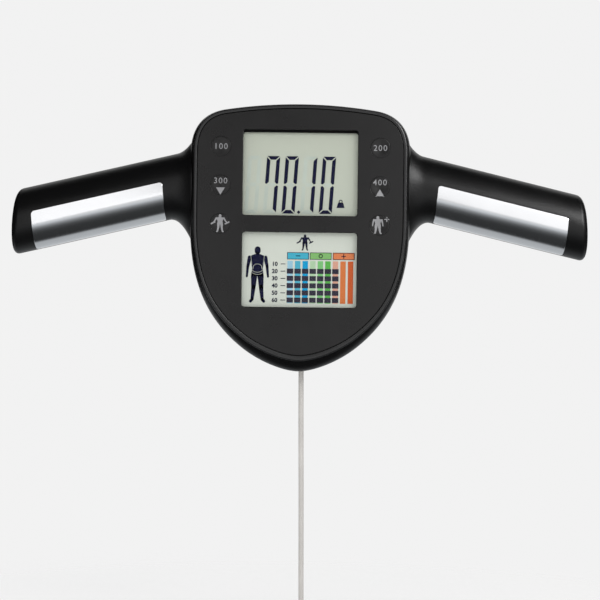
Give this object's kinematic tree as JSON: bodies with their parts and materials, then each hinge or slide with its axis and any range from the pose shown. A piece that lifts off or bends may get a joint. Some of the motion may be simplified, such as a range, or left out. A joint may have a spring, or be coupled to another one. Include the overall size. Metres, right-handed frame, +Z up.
{
  "type": "body composition scale hand unit",
  "caption": "Hand unit of a body composition scale: a shield-shaped display head with round keys between two drooping grips with steel electrodes, on a thin cord.",
  "frame": {"origin": "midway between the middles of the two grips, on the plane where the housing's halves meet", "axes": "+X to the right as the user looks at the display, the display faces -Y, +Z up"},
  "size_m": [0.331, 0.0437, 0.3151],
  "materials": {
    "housing_plastic": "fine moulded grain",
    "bezel_gloss": "satin gloss",
    "panel_grey": "satin",
    "clear_window": "clear",
    "display_glass": "reflective liquid crystal",
    "white_plastic": "moulded",
    "contact_rubber": "striped elastomer",
    "circuit_board": "solder resist",
    "black_component": "moulded",
    "electrode_steel": "finely brushed stainless",
    "red_wire": "insulated wire",
    "blue_wire": "insulated wire",
    "screw_steel": "zinc plated",
    "black_rubber": "moulded",
    "cord_grey": "soft sheath"
  },
  "bodies": {
    "unit": {"front_housing": "housing_plastic", "rear_housing": "housing_plastic", "bezel_ring": "bezel_gloss", "face_panel": "panel_grey", "upper_window_lens": "clear_window", "lower_window_lens": "clear_window", "upper_lcd": "display_glass", "lower_lcd": "display_glass", "upper_lcd_frame": "white_plastic", "lower_lcd_frame": "white_plastic", "upper_contact_strip": "contact_rubber", "lower_contact_strip": "contact_rubber", "main_board": "circuit_board", "controller_chip": "black_component", "cord_socket": "white_plastic", "switch_left_top": "black_component", "switch_left_middle": "black_component", "switch_left_bottom": "black_component", "switch_right_top": "black_component", "switch_right_middle": "black_component", "switch_right_bottom": "black_component", "left_front_electrode": "electrode_steel", "left_rear_electrode": "electrode_steel", "right_front_electrode": "electrode_steel", "right_rear_electrode": "electrode_steel", "left_front_lead": "red_wire", "left_rear_lead": "blue_wire", "right_front_lead": "red_wire", "right_rear_lead": "blue_wire", "housing_screw_1": "screw_steel", "housing_screw_2": "screw_steel", "housing_screw_3": "screw_steel", "housing_screw_4": "screw_steel", "housing_screw_5": "screw_steel", "housing_screw_6": "screw_steel", "board_screw_1": "screw_steel", "board_screw_2": "screw_steel", "board_screw_3": "screw_steel", "board_screw_4": "screw_steel", "clamp_screw_1": "screw_steel", "clamp_screw_2": "screw_steel", "cord_clamp": "screw_steel", "cord_grommet": "black_rubber", "cord": "cord_grey", "cord_plug": "cord_grey"},
    "left_top_key": {"key_left_top": "panel_grey"},
    "left_middle_key": {"key_left_middle": "panel_grey"},
    "left_bottom_key": {"key_left_bottom": "panel_grey"},
    "right_top_key": {"key_right_top": "panel_grey"},
    "right_middle_key": {"key_right_middle": "panel_grey"},
    "right_bottom_key": {"key_right_bottom": "panel_grey"}
  },
  "joints": [
    {"name": "left_top_key_press", "type": "slide", "parent": "unit", "child": "left_top_key", "axis": [0, 1, 0], "range_m": [0, 0.0006], "stiffness_N_per_m": 1200},
    {"name": "left_middle_key_press", "type": "slide", "parent": "unit", "child": "left_middle_key", "axis": [0, 1, 0], "range_m": [0, 0.0006], "stiffness_N_per_m": 1200},
    {"name": "left_bottom_key_press", "type": "slide", "parent": "unit", "child": "left_bottom_key", "axis": [0, 1, 0], "range_m": [0, 0.0006], "stiffness_N_per_m": 1200},
    {"name": "right_top_key_press", "type": "slide", "parent": "unit", "child": "right_top_key", "axis": [0, 1, 0], "range_m": [0, 0.0006], "stiffness_N_per_m": 1200},
    {"name": "right_middle_key_press", "type": "slide", "parent": "unit", "child": "right_middle_key", "axis": [0, 1, 0], "range_m": [0, 0.0006], "stiffness_N_per_m": 1200},
    {"name": "right_bottom_key_press", "type": "slide", "parent": "unit", "child": "right_bottom_key", "axis": [0, 1, 0], "range_m": [0, 0.0006], "stiffness_N_per_m": 1200}
  ]
}
